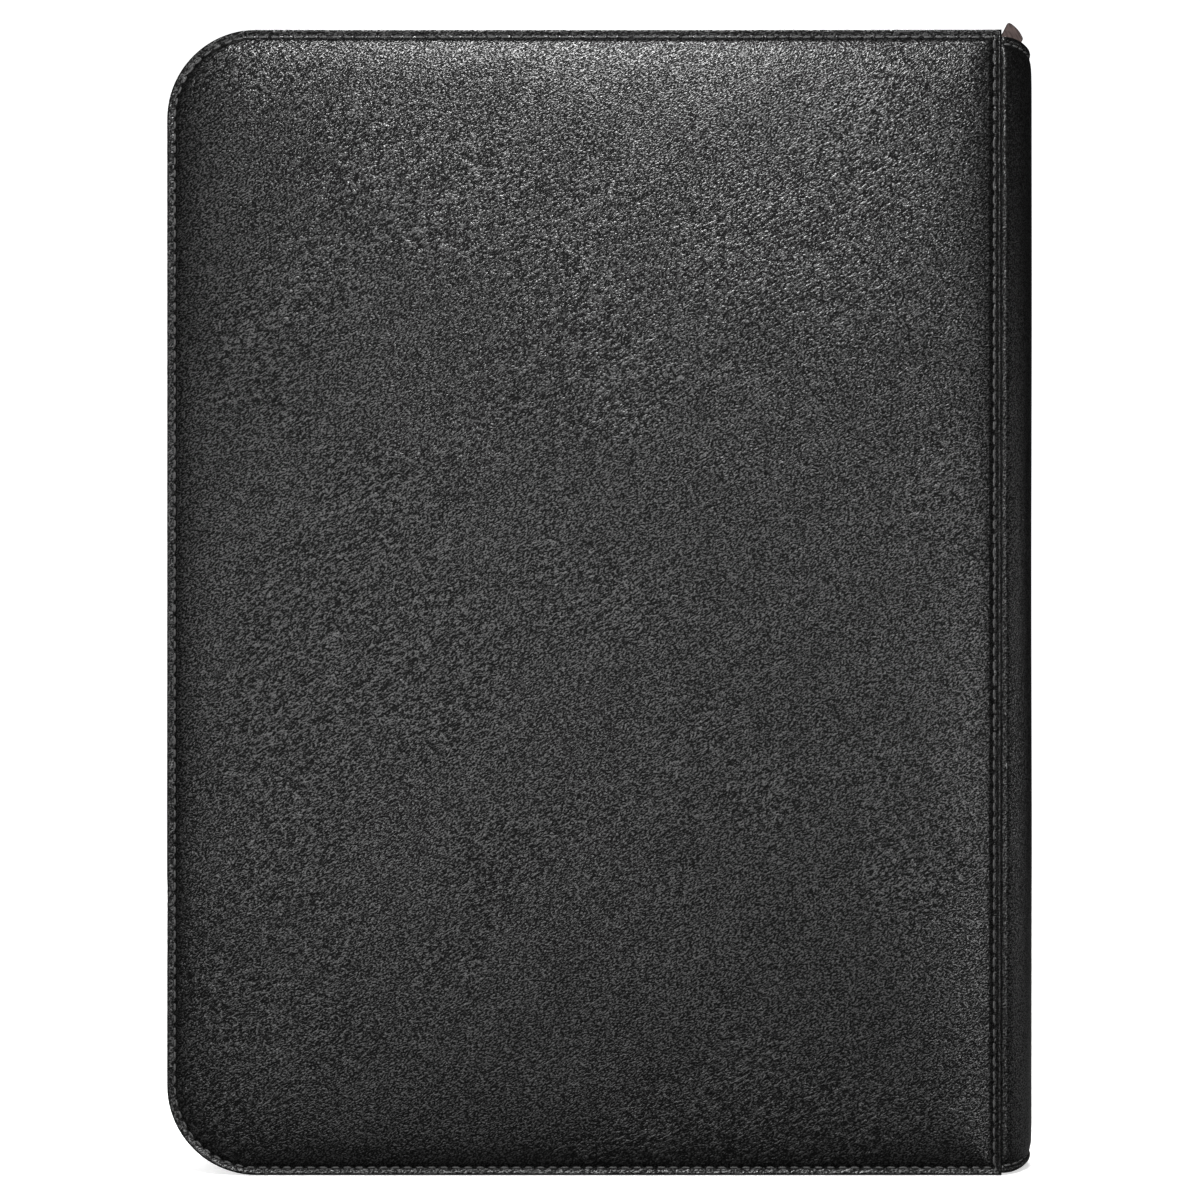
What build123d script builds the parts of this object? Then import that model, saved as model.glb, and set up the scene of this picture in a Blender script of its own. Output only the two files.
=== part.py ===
from build123d import *
import math
import os

# Zippered nine-pocket trading card binder, closed and standing on its bottom edges.
# X runs from the fore edge (-X) to the rounded spine (+X), Y runs from the back cover (-Y)
# to the front cover (+Y), and Z is up. The origin is the centre of the footprint. Millimetres.

# --- Driving dimensions -----------------------------------------------------
HEIGHT = 350.0
THICKNESS = 40.0
SEAM_X = 121.8           # where a cover is sewn to the spine
COVER_WIDTH = 255.0
SPINE_BULGE = 11.4       # how far the spine stands out past the seam
CORNER_RADIUS = 27.5     # fore corners of a cover
SEAM_CORNER_RADIUS = 1.0

# Cover layers, from the outer face inwards
SKIN = 1.2
FOAM = 1.8
BOARD = 2.0
LINING = 0.6
PAD_INSET = 4.5          # foam and board stop short of the sewn edge
STITCH_INSET = 2.5
THREAD_WIDTH = 0.6
THREAD_DEPTH = 0.4
GROOVE_WIDTH = 0.9
GROOVE_DEPTH = 0.5

# Spine
HINGE_GAP = 0.3          # cover edge to spine edge at the seam
SPINE_BOTTOM = 0.9       # at the seams
SPINE_TOP = 347.6
SPINE_END_DROP = 1.9     # the sewn ends fall away towards the middle of the spine
SPINE_END_BOW = 0.8      # and stay level near the seams
STIFFENER = 1.1
SPINE_STITCH_INSET = 2.4

# Zipper
CHAIN_INSET = 10.0       # chain centre line to the cover's outer edge
COIL_NEAR = 1.4          # |y| of the coil's free edge
COIL_FAR = 4.2
COIL_HALF = 1.2
TAPE = 1.0
TAPE_SHELF = 7.3         # |y| where the tape starts to slope out to the cover
TAPE_FLANGE = 0.8
CHAIN_END_X = 103.0      # the cover's tape stops here
TAB_START_X = 103.6      # the tape end held by the spine starts here
TAB_STOP_X = 123.8
TAB_HALF_WIDTH = 9.0

# Slider and pull
SLIDER_X = 116.6
SLIDER_LENGTH = 12.0
SLIDER_WIDTH = 12.2
SLIDER_TAPER = 0.4
PLATE = 1.2
CHANNEL_HALF = 1.4
FLANGE_WALL = 1.1
SLOT_HALF = 0.8
NOSE_HALF = 1.1
CAP_HEIGHT = 3.2
CAP_WIDTH = 2.4
WIRE_RADIUS = 0.6
RING_LENGTH = 5.4
RING_HALF_WIDTH = 2.6
RING_ANGLE = 10.0        # above the horizontal, at rest
RING_X = 119.1
PULL_LENGTH = 10.4       # hole centre to the far corner
PULL_HALF_WIDTH = 3.3
PULL_SLANT = 2.6
PULL_THICKNESS = 1.6
PULL_ANGLE = 63.0        # above the horizontal, at rest
PULL_NECK = 1.9
PULL_HOLE = 0.8
PULL_BEVEL = 0.25

# Page block
PAIRS = 10               # each pair is one folded sheet, so the block has twenty leaves
PAIR_PITCH = 2.64
LEAF_PITCH = 1.32
SHEET = 0.3
FILM = 0.42              # depth of a pocket from the sheet to the outside of the film
FILM_SKIN = 0.12         # the film itself
LEAF_HINGE_X = 114.5
LEAF_FREE_X = -110.5
LEAF_BOTTOM = 30.0
LEAF_TOP = 320.0
POCKET_PITCH_X = 70.0
POCKET_PITCH_Z = 94.0
POCKET_WIDTH = 66.5      # a standard card is 63 by 88
POCKET_HEIGHT = 90.5
POCKET_GRID_X = -109.0
POCKET_GRID_Z = 34.0
SLIT_WIDTH = 1.5

# --- Derived places ---------------------------------------------------------
HALF = THICKNESS / 2
FORE_X = SEAM_X - COVER_WIDTH
SPINE_X = SEAM_X + SPINE_BULGE
COVER_INNER = HALF - SKIN - FOAM - BOARD - LINING
CHAIN_TOP_Z = HEIGHT - CHAIN_INSET
CHAIN_BOTTOM_Z = CHAIN_INSET
SPINE_START_X = SEAM_X + HINGE_GAP
SAGITTA = SPINE_X - SPINE_START_X
SPINE_RADIUS = (HALF**2 + SAGITTA**2) / (2 * SAGITTA)
SPINE_CENTRE_X = SPINE_X - SPINE_RADIUS
LINING_RADIUS = SPINE_RADIUS - SKIN - STIFFENER - LINING


# --- Helpers ----------------------------------------------------------------
def slab(shape, y_low, y_high):
    """Extrude an outline drawn in X and Z so that it fills y_low to y_high."""
    plane = Plane(origin=(0, y_high, 0), x_dir=(1, 0, 0), z_dir=(0, -1, 0))
    return extrude(plane * shape, amount=y_high - y_low)


def block(x_low, x_high, y_low, y_high, z_low, z_high):
    """A plain box between two corners."""
    size = (x_high - x_low, y_high - y_low, z_high - z_low)
    centre = ((x_low + x_high) / 2, (y_low + y_high) / 2, (z_low + z_high) / 2)
    return Pos(*centre) * Box(*size)


def cover_outline(inset):
    """A cover's outline, square at the seam and rounded at the fore corners."""
    x_low, x_high = FORE_X + inset, SEAM_X - inset
    sharp = Pos((x_low + x_high) / 2, HEIGHT / 2) * Rectangle(x_high - x_low, HEIGHT - 2 * inset)
    rounded = fillet(sharp.vertices().sort_by(Axis.X)[:2], CORNER_RADIUS - inset)
    seam = [v for v in rounded.vertices() if abs(v.X - x_high) < 0.01]
    return fillet(seam, max(SEAM_CORNER_RADIUS - inset, 0.2))


def ring_outline(inset, width):
    """A closed band of the given width, centred on the cover's outline moved in by inset."""
    return cover_outline(inset - width / 2) - cover_outline(inset + width / 2)


def zip_sweep(points):
    """Carry a profile of (|y|, inset from the cover's edge) points round the back half's open sides."""
    corner_x = FORE_X + CORNER_RADIUS
    corner_z = HEIGHT - CORNER_RADIUS
    across = Face(Wire.make_polygon([(corner_x, -y, HEIGHT - inset) for y, inset in points]))
    down = Face(Wire.make_polygon([(FORE_X + inset, -y, corner_z) for y, inset in points]))
    run = extrude(across, amount=CHAIN_END_X - corner_x, dir=(1, 0, 0))
    turn = revolve(across, axis=Axis((corner_x, 0, corner_z), (0, -1, 0)), revolution_arc=90)
    side = extrude(down, amount=corner_z - HEIGHT / 2, dir=(0, 0, -1))
    upper = run + turn + side
    return upper + mirror(upper, about=Plane.XY.offset(HEIGHT / 2))


def spine_ends(inset):
    """Everything between the spine's two bowed ends, moved in by inset."""
    x_low, x_high = SPINE_START_X, SPINE_X
    x_mid = (x_low + x_high) / 2
    top, top_middle = SPINE_TOP - inset, SPINE_TOP - SPINE_END_DROP - inset
    low, low_middle = SPINE_BOTTOM + inset, SPINE_BOTTOM + SPINE_END_DROP + inset
    top_bow = (top + top_middle) / 2 + SPINE_END_BOW
    low_bow = (low + low_middle) / 2 - SPINE_END_BOW
    sides = [
        ThreePointArc((x_low, top), (x_mid, top_bow), (x_high, top_middle)),
        Line((x_high, top_middle), (x_high, low_middle)),
        ThreePointArc((x_high, low_middle), (x_mid, low_bow), (x_low, low)),
        Line((x_low, low), (x_low, top)),
    ]
    return slab(make_face(sides), -HALF, HALF)


def spine_sheet(outer, thickness, start_gap=0):
    """A curved upright sheet of the spine, cut off flat at the seams."""
    tube = Cylinder(outer, HEIGHT) - Cylinder(outer - thickness, HEIGHT)
    tube = Pos(SPINE_CENTRE_X, 0, HEIGHT / 2) * tube
    return tube & block(SPINE_START_X + start_gap, SPINE_X + 1, -HALF, HALF, 0, HEIGHT)


def inside_lining(shape):
    """Trim a shape where it would pass the spine lining."""
    room = Pos(SPINE_CENTRE_X, 0, HEIGHT / 2) * Cylinder(LINING_RADIUS, HEIGHT)
    return shape & room


# --- Covers: the back cover is drawn, and the front cover is its mirror image ---
def cover_skin():
    """Leatherette tray: outer face, turned-down rim and a groove for the thread."""
    tray = slab(cover_outline(0), -HALF, -COVER_INNER)
    hollow = slab(cover_outline(SKIN), -HALF + SKIN, -COVER_INNER)
    groove = slab(ring_outline(STITCH_INSET, GROOVE_WIDTH), -HALF, -HALF + GROOVE_DEPTH)
    return tray - hollow - groove


def cover_foam():
    return slab(cover_outline(PAD_INSET), -HALF + SKIN, -HALF + SKIN + FOAM)


def cover_board():
    outer = -HALF + SKIN + FOAM
    return slab(cover_outline(PAD_INSET), outer, outer + BOARD)


def cover_lining():
    return slab(cover_outline(SKIN), -COVER_INNER - LINING, -COVER_INNER)


def cover_thread():
    """The lockstitch thread, as one cord in the groove."""
    floor = -HALF + GROOVE_DEPTH
    return slab(ring_outline(STITCH_INSET, THREAD_WIDTH), floor - THREAD_DEPTH, floor)


def zip_tape():
    """Woven tape: a shelf beside the coil, a slope out to the cover, and a sewn flange."""
    shelf_in, shelf_out = CHAIN_INSET + TAPE / 2, CHAIN_INSET - TAPE / 2
    flange_in = COVER_INNER - TAPE_FLANGE
    return zip_sweep([
        (COIL_FAR, shelf_out),
        (COIL_FAR, shelf_in),
        (TAPE_SHELF, shelf_in),
        (flange_in, STITCH_INSET + 4.1),
        (flange_in, STITCH_INSET + 5.1),
        (COVER_INNER, STITCH_INSET + 5.1),
        (COVER_INNER, STITCH_INSET - 0.5),
        (flange_in, STITCH_INSET - 0.5),
        (flange_in, STITCH_INSET + 2.9),
        (TAPE_SHELF - 0.3, shelf_out),
    ])


def zip_coil():
    """One half of the coil chain, as the bar that its loops fill."""
    high, low = CHAIN_INSET - COIL_HALF, CHAIN_INSET + COIL_HALF
    return zip_sweep([(COIL_NEAR, high), (COIL_FAR, high), (COIL_FAR, low), (COIL_NEAR, low)])


# --- Spine ------------------------------------------------------------------
def spine_seams(outer, thickness, width):
    """Bands that follow the spine's two sewn ends."""
    band = spine_ends(SPINE_STITCH_INSET - width / 2) - spine_ends(SPINE_STITCH_INSET + width / 2)
    return spine_sheet(outer, thickness, 1.0) & band


def spine_skin():
    skin = spine_sheet(SPINE_RADIUS, SKIN) & spine_ends(0)
    return skin - spine_seams(SPINE_RADIUS + 1, GROOVE_DEPTH + 1, GROOVE_WIDTH)


def spine_thread():
    floor = SPINE_RADIUS - GROOVE_DEPTH
    return spine_seams(floor + THREAD_DEPTH, THREAD_DEPTH, THREAD_WIDTH)


def spine_stiffener():
    return spine_sheet(SPINE_RADIUS - SKIN, STIFFENER, 1.5) & spine_ends(5.0)


def spine_lining():
    return spine_sheet(LINING_RADIUS + LINING, LINING, 0.5) & spine_ends(1.0)


def binding_strip():
    """The bar that the folded sheets are sewn to, with the web that holds it to the spine."""
    half_stack = PAIR_PITCH * PAIRS / 2
    bar = block(LEAF_HINGE_X + 0.3, LEAF_HINGE_X + 3.8, -half_stack, half_stack, LEAF_BOTTOM, LEAF_TOP)
    web = block(LEAF_HINGE_X + 3.8, SPINE_X, -1.0, 1.0, LEAF_BOTTOM, LEAF_TOP)
    return inside_lining(bar + web)


def zip_end_tape(z):
    """The joined end of the zipper tape, held by the spine."""
    half = TAPE / 2
    tape = block(TAB_START_X, SPINE_X, -TAB_HALF_WIDTH, TAB_HALF_WIDTH, z - half, z + half)
    slot = block(TAB_START_X, TAB_STOP_X, -COIL_FAR, COIL_FAR, z - half, z + half)
    return inside_lining(tape - slot)


def zip_end_coils():
    """The four short lengths of coil on the two joined ends."""
    bars = []
    for z in (CHAIN_BOTTOM_Z, CHAIN_TOP_Z):
        for y_low, y_high in ((-COIL_FAR, -COIL_NEAR), (COIL_NEAR, COIL_FAR)):
            bars.append(block(TAB_START_X, TAB_STOP_X, y_low, y_high, z - COIL_HALF, z + COIL_HALF))
    return Compound(bars)


def zip_stops():
    """Metal stops clamped round the tape just past the coils, one at each end."""
    stops = []
    for z in (CHAIN_BOTTOM_Z, CHAIN_TOP_Z):
        stop = block(TAB_STOP_X + 0.1, TAB_STOP_X + 2.6, -COIL_FAR, COIL_FAR, z - 1.5, z + 1.5)
        tape = block(TAB_STOP_X, TAB_STOP_X + 3, -COIL_FAR, COIL_FAR, z - TAPE / 2, z + TAPE / 2)
        stops += (fillet(stop.edges().filter_by(Axis.Y), 0.5) - tape).solids()
    return Compound(stops)


# --- Slider, ring and pull --------------------------------------------------
def plate_outline():
    """Slider plate seen from above: broad at the nose, a little narrower at the tail."""
    nose, tail = SLIDER_X - SLIDER_LENGTH / 2, SLIDER_X + SLIDER_LENGTH / 2
    wide, narrow = SLIDER_WIDTH / 2, SLIDER_WIDTH / 2 - SLIDER_TAPER
    lower = [(nose, -wide), (nose + 5, -wide), (tail, -narrow)]
    upper = [(tail, narrow), (nose + 5, wide), (nose, wide)]
    face = make_face(Polyline(*lower, *upper, close=True))
    return fillet([v for v in face.vertices() if abs(v.X - SLIDER_X) > 3], 2.0)


def slider_body():
    """Two plates joined by the nose wedge, with flanges that leave a slot for the tape."""
    z = CHAIN_TOP_Z
    low, high = z - CHANNEL_HALF - PLATE, z + CHANNEL_HALF + PLATE
    solid = extrude(Plane.XY.offset(low) * plate_outline(), amount=high - low)
    rims = solid.faces().filter_by(Axis.Z).edges()
    solid = chamfer(rims, 0.35)
    x_low, x_high = SLIDER_X - SLIDER_LENGTH, SLIDER_X + SLIDER_LENGTH
    inner = SLIDER_WIDTH / 2 - FLANGE_WALL
    channel = block(x_low, x_high, -inner, inner, z - CHANNEL_HALF, z + CHANNEL_HALF)
    slot = block(x_low, x_high, -SLIDER_WIDTH, SLIDER_WIDTH, z - SLOT_HALF, z + SLOT_HALF)
    nose_x = SLIDER_X - SLIDER_LENGTH / 2
    wedge = block(nose_x + 0.5, nose_x + 4.0, -NOSE_HALF, NOSE_HALF, z - CHANNEL_HALF, z + CHANNEL_HALF)
    wedge = fillet(wedge.edges().filter_by(Axis.Z), 0.9)
    return solid - channel - slot + wedge


def slider_cap():
    """The bridge that holds the ring: an arch with a window for the wire."""
    base = CHAIN_TOP_Z + CHANNEL_HALF + PLATE
    x_low, x_high = RING_X - 3.6, RING_X + 1.9
    arch = block(x_low, x_high, -CAP_WIDTH / 2, CAP_WIDTH / 2, base, base + CAP_HEIGHT)
    arch = fillet(arch.edges().filter_by(Axis.Y).group_by(Axis.Z)[-1], 1.2)
    window = block(x_low + 1.2, x_high - 1.1, -CAP_WIDTH, CAP_WIDTH, base + 0.6, base + CAP_HEIGHT - 0.9)
    window = fillet(window.edges().filter_by(Axis.Y), 0.3)
    return arch - window


RING_Z = CHAIN_TOP_Z + CHANNEL_HALF + PLATE + 1.45


def ring_far_end():
    """Centre of the ring's far wire, where the pull hangs."""
    angle = math.radians(RING_ANGLE)
    return RING_X + RING_LENGTH * math.cos(angle), RING_Z + RING_LENGTH * math.sin(angle)


def in_pull_plane(x, z, angle):
    """A frame at (x, z) whose local X points along the given angle above the horizontal."""
    turn = math.radians(angle)
    along = (math.cos(turn), 0, math.sin(turn))
    return Plane(origin=(x, 0, z), x_dir=along, z_dir=(0, -1, 0))


def pull_ring():
    """A wire loop of four bars with rounded corners."""
    lying = in_pull_plane(RING_X, RING_Z, RING_ANGLE)
    loop_plane = Plane(origin=lying.origin, x_dir=lying.x_dir, z_dir=lying.y_dir)
    loop = Pos(RING_LENGTH / 2, 0) * RectangleRounded(RING_LENGTH, 2 * RING_HALF_WIDTH, 0.9)
    path = (loop_plane * loop).face().outer_wire()
    start = path.edges()[0]
    profile = Plane(origin=start @ 0.5, z_dir=start % 0.5) * Circle(WIRE_RADIUS)
    return sweep(profile, path=path)


def pull_tab():
    """A short flat tab: a round neck with a hole, straight sides and a slanted, bowed end."""
    w = PULL_HALF_WIDTH
    tip, heel = PULL_LENGTH, PULL_LENGTH - PULL_SLANT
    sides = [
        Line((2.6, w), (tip, w)),
        ThreePointArc((tip, w), ((tip + heel) / 2 + 0.75, 0), (heel, -w)),
        Line((heel, -w), (2.6, -w)),
        Line((2.6, -w), (0, -PULL_NECK)),
        ThreePointArc((0, -PULL_NECK), (-PULL_NECK, 0), (0, PULL_NECK)),
        Line((0, PULL_NECK), (2.6, w)),
    ]
    face = make_face(sides)
    ends = [v for v in face.vertices() if v.X > heel - 0.5]
    face = fillet(ends, 0.8) - Circle(PULL_HOLE)
    plane = in_pull_plane(*ring_far_end(), PULL_ANGLE)
    tab = extrude(plane.offset(-PULL_THICKNESS / 2) * face, amount=PULL_THICKNESS)
    return chamfer(tab.faces().filter_by(Axis.Y).edges(), PULL_BEVEL)


# --- Page block -------------------------------------------------------------
def pair_middle(index):
    """Middle plane of a pair of leaves, counted from the back cover."""
    return (index - (PAIRS - 1) / 2) * PAIR_PITCH


def pair_sheets(y):
    """One folded sheet: a sewn tongue, the fold, and two leaves."""
    fold_x = LEAF_HINGE_X - 5.4
    outer = LEAF_PITCH / 2 + SHEET / 2
    tongue = block(fold_x + 1.0, LEAF_HINGE_X - 0.3, y - SHEET / 2, y + SHEET / 2, LEAF_BOTTOM, LEAF_TOP)
    fold = block(fold_x, fold_x + 1.0, y - outer, y + outer, LEAF_BOTTOM, LEAF_TOP)
    both = block(LEAF_FREE_X, fold_x, y - outer, y + outer, LEAF_BOTTOM, LEAF_TOP)
    between = block(LEAF_FREE_X, fold_x, y - outer + SHEET, y + outer - SHEET, LEAF_BOTTOM, LEAF_TOP)
    return tongue + fold + (both - between)


def pocket_film():
    """Nine side-loading pockets on one face, against y = 0 with the film at -Y."""
    x_high = POCKET_GRID_X + 3 * POCKET_PITCH_X
    z_high = POCKET_GRID_Z + 3 * POCKET_PITCH_Z
    film = block(POCKET_GRID_X, x_high, -FILM, 0, POCKET_GRID_Z, z_high)
    for column in range(3):
        for row in range(3):
            x = POCKET_GRID_X + column * POCKET_PITCH_X + (POCKET_PITCH_X - POCKET_WIDTH) / 2
            z = POCKET_GRID_Z + row * POCKET_PITCH_Z + (POCKET_PITCH_Z - POCKET_HEIGHT) / 2
            right, top = x + POCKET_WIDTH, z + POCKET_HEIGHT
            film -= block(x, right, -FILM + FILM_SKIN, 0, z, top)
            film -= block(right - SLIT_WIDTH, right, -FILM, 0, z + 1, top - 1)
    return film


def pair_pockets(y, film):
    """The four pocket films of a pair, on both faces of both leaves."""
    films = []
    for leaf_y in (y - LEAF_PITCH / 2, y + LEAF_PITCH / 2):
        films.append(Pos(0, leaf_y - SHEET / 2, 0) * film)
        films.append(Pos(0, leaf_y + SHEET / 2, 0) * mirror(film, about=Plane.XZ))
    return Compound([s for f in films for s in f.solids()])


# --- Assemble and export ----------------------------------------------------
def build():
    """Every node of the binder by name."""
    back = {
        "skin": cover_skin(),
        "foam_pad": cover_foam(),
        "board": cover_board(),
        "lining": cover_lining(),
        "stitching": cover_thread(),
        "zip_tape": zip_tape(),
        "zip_coil": zip_coil(),
    }
    nodes = {}
    for name, solid in back.items():
        nodes["back_" + name] = solid
        nodes["front_" + name] = mirror(solid, about=Plane.XZ)
    nodes["spine_skin"] = spine_skin()
    nodes["spine_stitching"] = spine_thread()
    nodes["spine_stiffener"] = spine_stiffener()
    nodes["spine_lining"] = spine_lining()
    nodes["binding_strip"] = binding_strip()
    nodes["zip_end_tape_top"] = zip_end_tape(CHAIN_TOP_Z)
    nodes["zip_end_tape_bottom"] = zip_end_tape(CHAIN_BOTTOM_Z)
    nodes["zip_end_coils"] = zip_end_coils()
    nodes["zip_stops"] = zip_stops()
    nodes["slider_body"] = slider_body()
    nodes["slider_cap"] = slider_cap()
    nodes["pull_ring"] = pull_ring()
    nodes["pull_tab"] = pull_tab()
    film = pocket_film()
    for index in range(PAIRS):
        y = pair_middle(index)
        nodes[f"leaf_pair_{index + 1:02d}_sheets"] = pair_sheets(y)
        nodes[f"leaf_pair_{index + 1:02d}_pockets"] = pair_pockets(y, film)
    return nodes


os.makedirs("parts", exist_ok=True)
for node_name, node_shape in build().items():
    export_step(node_shape, f"parts/{node_name}.step")
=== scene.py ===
import math

import bmesh
import bpy
import numpy as np
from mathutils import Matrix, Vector


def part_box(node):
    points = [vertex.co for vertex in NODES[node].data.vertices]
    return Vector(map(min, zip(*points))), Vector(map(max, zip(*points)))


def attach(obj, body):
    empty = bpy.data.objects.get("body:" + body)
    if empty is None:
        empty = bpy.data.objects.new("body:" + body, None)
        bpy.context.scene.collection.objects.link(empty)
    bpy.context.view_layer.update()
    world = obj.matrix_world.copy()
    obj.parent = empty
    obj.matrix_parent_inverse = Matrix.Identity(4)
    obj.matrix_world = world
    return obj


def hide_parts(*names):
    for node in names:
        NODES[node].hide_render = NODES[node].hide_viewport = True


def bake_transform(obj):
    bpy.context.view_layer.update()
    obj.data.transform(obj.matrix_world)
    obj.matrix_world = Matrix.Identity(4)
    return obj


# Looks of a zippered trading card binder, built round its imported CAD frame. Lengths are in
# millimetres up to make_object(), which turns them into metres. The back cover faces -Y, and
# each cover is shaped there and then mirrored by its side, -1 for the back and 1 for the front.

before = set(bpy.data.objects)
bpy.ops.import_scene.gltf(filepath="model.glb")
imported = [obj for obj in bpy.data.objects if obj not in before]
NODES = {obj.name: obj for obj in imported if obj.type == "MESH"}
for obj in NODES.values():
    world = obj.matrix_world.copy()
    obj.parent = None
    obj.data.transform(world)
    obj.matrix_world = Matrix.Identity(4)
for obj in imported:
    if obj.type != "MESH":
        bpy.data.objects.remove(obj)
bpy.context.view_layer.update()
MM = 0.001


def node_box(name):
    """A CAD node's box as two arrays in millimetres."""
    low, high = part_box(name)
    return np.array(low) / MM, np.array(high) / MM


# --- Places taken from the frame ---------------------------------------------------
skin_low, skin_high = node_box("back_skin")
FORE_X, SEAM_X = skin_low[0], skin_high[0]
HEIGHT = skin_high[2]
HALF = -skin_low[1]
INNER_Y = -node_box("back_lining")[1][1]
SPINE_X = node_box("spine_skin")[1][0]
SPINE_START = node_box("spine_skin")[0][0]
SPINE_LOW, SPINE_HIGH = node_box("spine_skin")[0][2], node_box("spine_skin")[1][2]
CORNER_RADIUS = 27.5
STITCH_INSET = 2.5
COIL_HALF_DEPTH = 1.2       # from the coil's outer side to its centre line
CHAIN_INSET = (node_box("back_zip_coil")[0][0] + COIL_HALF_DEPTH) - FORE_X
CHAIN_TOP = HEIGHT - CHAIN_INSET

# Mesh segments along the cover's sides and corners. Two segments make one stitch, so all are even.
SEG_LONG = 160
SEG_SHORT = 122
SEG_CORNER = 22
MERGE_DISTANCE = 0.002


# --- Mesh helpers ------------------------------------------------------------------
def make_object(name, verts, faces, material, smooth=True, merge=False):
    """A mesh object from millimetre vertices, with its normals facing out."""
    mesh = bpy.data.meshes.new(name)
    mesh.from_pydata((np.asarray(verts, float) * MM).tolist(), [], faces)
    bm = bmesh.new()
    bm.from_mesh(mesh)
    if merge:
        bmesh.ops.remove_doubles(bm, verts=bm.verts, dist=MERGE_DISTANCE * MM)
        bmesh.ops.dissolve_degenerate(bm, dist=MERGE_DISTANCE * MM / 10, edges=bm.edges)
    bmesh.ops.recalc_face_normals(bm, faces=bm.faces)
    bm.to_mesh(mesh)
    bm.free()
    for polygon in mesh.polygons:
        polygon.use_smooth = smooth
    mesh.materials.append(material)
    obj = bpy.data.objects.new(name, mesh)
    bpy.context.scene.collection.objects.link(obj)
    return obj


def band_faces(count, width, start=0, closed=True):
    """Quads between `count` successive loops of `width` vertices each."""
    faces = []
    last = width if closed else width - 1
    for row in range(count - 1):
        a = start + row * width
        for i in range(last):
            j = (i + 1) % width
            faces.append((a + i, a + j, a + width + j, a + width + i))
    return faces


def tube_faces(count, width, start=0):
    """The quads of a band of loops, and a face across each of its ends."""
    last = start + (count - 1) * width
    ends = [tuple(range(start, start + width)), tuple(range(last, last + width))]
    return band_faces(count, width, start) + ends


def grid_faces(rows, columns, start=0):
    """Quads of a rows by columns grid of vertices."""
    return band_faces(rows, columns, start, closed=False)


def sheet_faces(rows, columns, start=0):
    """Faces of a thin sheet: two grids of vertices, one after the other, joined round the edge."""
    back = rows * columns
    faces = grid_faces(rows, columns, start)
    faces += [face[::-1] for face in grid_faces(rows, columns, start + back)]
    for r in range(rows - 1):
        for c in (0, columns - 1):
            a = start + r * columns + c
            faces.append((a, a + columns, a + columns + back, a + back))
    for c in range(columns - 1):
        for r in (0, rows - 1):
            a = start + r * columns + c
            faces.append((a, a + 1, a + 1 + back, a + back))
    return faces


def smoothstep(t):
    t = np.clip(t, 0, 1)
    return t * t * (3 - 2 * t)


def unit(vectors):
    """Rows scaled to a length of one."""
    return vectors / np.linalg.norm(vectors, axis=1)[:, None]


def thickened(path, thickness):
    """Outline of a flat path given a thickness: along one side and back along the other."""
    direction = unit(np.gradient(path, axis=0))
    normal = np.stack([-direction[:, 1], direction[:, 0]], 1) * thickness / 2
    return np.concatenate([path + normal, (path - normal)[::-1]])


def resample(points, count):
    """Evenly spaced points along a smooth curve through the given points."""
    points = np.array(points, float)
    fine = []
    padded = np.vstack([2 * points[0] - points[1], points, 2 * points[-1] - points[-2]])
    for i in range(1, len(padded) - 2):
        p0, p1, p2, p3 = padded[i - 1], padded[i], padded[i + 1], padded[i + 2]
        for t in np.linspace(0, 1, 12, endpoint=False):
            fine.append(0.5 * (2 * p1 + (p2 - p0) * t + (2 * p0 - 5 * p1 + 4 * p2 - p3) * t**2
                               + (3 * p1 - p0 - 3 * p2 + p3) * t**3))
    fine.append(points[-1])
    fine = np.array(fine)
    length = np.concatenate([[0], np.cumsum(np.linalg.norm(np.diff(fine, axis=0), axis=1))])
    wanted = np.linspace(0, length[-1], count)
    return np.stack([np.interp(wanted, length, fine[:, k]) for k in range(fine.shape[1])], 1)


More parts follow.
